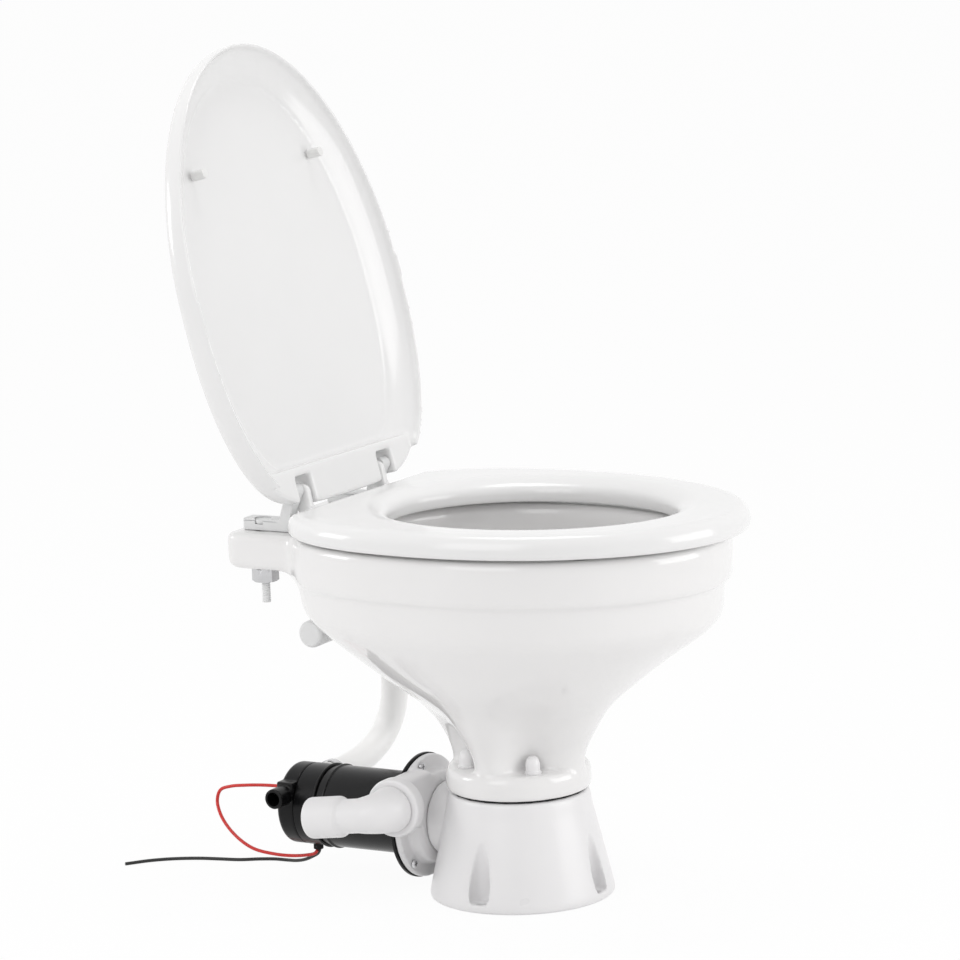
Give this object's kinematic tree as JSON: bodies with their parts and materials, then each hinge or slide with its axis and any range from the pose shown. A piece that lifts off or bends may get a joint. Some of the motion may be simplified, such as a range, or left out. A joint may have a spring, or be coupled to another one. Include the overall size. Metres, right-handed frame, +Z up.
{
  "type": "electric marine toilet",
  "caption": "Electric marine toilet: ceramic bowl on a plastic base, hinged seat and lid, 12 V macerator motor with a flush pump, discharge elbow and two leads.",
  "frame": {"origin": "centre of the base's foot, on the floor", "axes": "+Z up; -Y towards the front of the bowl, where the user's knees are; +Y towards the motor; +X to the sitting user's left, the side of the flush hose"},
  "size_m": [0.344, 0.6232, 0.7705],
  "materials": {
    "white_ceramic": "gloss",
    "white_plastic": "satin",
    "white_enamel": "gloss",
    "pale_plastic": "satin",
    "pale_hose": "satin",
    "pale_rubber": "matte",
    "black_rubber": "matte",
    "black_plastic": "satin",
    "black_paint": "gloss",
    "stainless": "satin",
    "copper": "satin",
    "bronze": "satin",
    "laminations": "matte",
    "ferrite": "matte",
    "carbon": "matte",
    "black_lead": "satin",
    "red_lead": "satin"
  },
  "bodies": {
    "stand": {"base_foot": "white_plastic", "base_skirt": "white_plastic", "base": "white_plastic", "bowl_gasket": "black_rubber", "bowl": "white_ceramic", "bowl_bolt_1": "white_plastic", "bowl_bolt_2": "white_plastic", "bowl_bolt_3": "white_plastic", "bowl_bolt_4": "white_plastic", "hinge_block_left": "pale_plastic", "hinge_block_right": "pale_plastic", "hinge_pin_left": "stainless", "hinge_pin_right": "stainless", "hinge_bolt_left": "pale_plastic", "hinge_bolt_right": "pale_plastic", "hinge_nut_left": "stainless", "hinge_nut_right": "stainless", "inlet_tee": "pale_plastic", "inlet_cap": "pale_plastic", "inlet_seal": "black_rubber", "flush_hose": "pale_hose", "hose_clamp_lower": "stainless", "hose_clamp_upper": "stainless", "macerator_housing": "white_plastic", "housing_screw_1": "stainless", "housing_screw_2": "stainless", "housing_screw_3": "stainless", "motor_flange": "black_plastic", "shaft_seal": "black_rubber", "front_bearing": "bronze", "motor_can": "black_paint", "magnet_left": "ferrite", "magnet_right": "ferrite", "motor_end_bell": "black_plastic", "rear_bearing": "bronze", "pump_head": "black_plastic", "lead_grommet": "black_rubber", "lead_black": "black_lead", "lead_red": "red_lead", "joker_valve": "black_rubber"},
    "seat_body": {"seat": "white_enamel", "seat_bumper_1": "pale_rubber", "seat_bumper_2": "pale_rubber", "seat_bumper_3": "pale_rubber", "seat_bumper_4": "pale_rubber"},
    "lid_body": {"lid": "white_enamel", "lid_lug_left": "white_enamel", "lid_lug_middle": "white_enamel", "lid_lug_right": "white_enamel", "lid_bumper_left": "pale_rubber", "lid_bumper_right": "pale_rubber"},
    "rotor": {"motor_shaft": "stainless", "armature": "laminations", "commutator": "copper", "cutter": "stainless", "waste_impeller": "black_plastic", "pump_impeller": "black_rubber"},
    "elbow": {"discharge_elbow": "white_plastic"},
    "brush_upper_body": {"brush_upper": "carbon"},
    "brush_lower_body": {"brush_lower": "carbon"}
  },
  "joints": [
    {"name": "lid_hinge", "type": "hinge", "parent": "stand", "child": "lid_body", "pos_m": [0, 0.1783, 0.3737], "axis": [-1, 0, 0], "range_deg": [-104.85, 0]},
    {"name": "seat_hinge", "type": "hinge", "parent": "stand", "child": "seat_body", "pos_m": [0, 0.1783, 0.3737], "axis": [-1, 0, 0], "range_deg": [0, 96]},
    {"name": "motor_spin", "type": "hinge", "parent": "stand", "child": "rotor", "pos_m": [0, 0.15, 0.063], "axis": [0, 1, 0], "continuous": true},
    {"name": "elbow_swivel", "type": "hinge", "parent": "stand", "child": "elbow", "pos_m": [-0.072, 0.092, 0.086], "axis": [1, 0, 0], "range_deg": [-20, 180]},
    {"name": "brush_upper_wear", "type": "slide", "parent": "stand", "child": "brush_upper_body", "axis": [0, 0, 1], "range_m": [0, 0.003], "stiffness_N_per_m": 200, "springref_m": -0.008},
    {"name": "brush_lower_wear", "type": "slide", "parent": "stand", "child": "brush_lower_body", "axis": [0, 0, -1], "range_m": [0, 0.003], "stiffness_N_per_m": 200, "springref_m": -0.008}
  ]
}
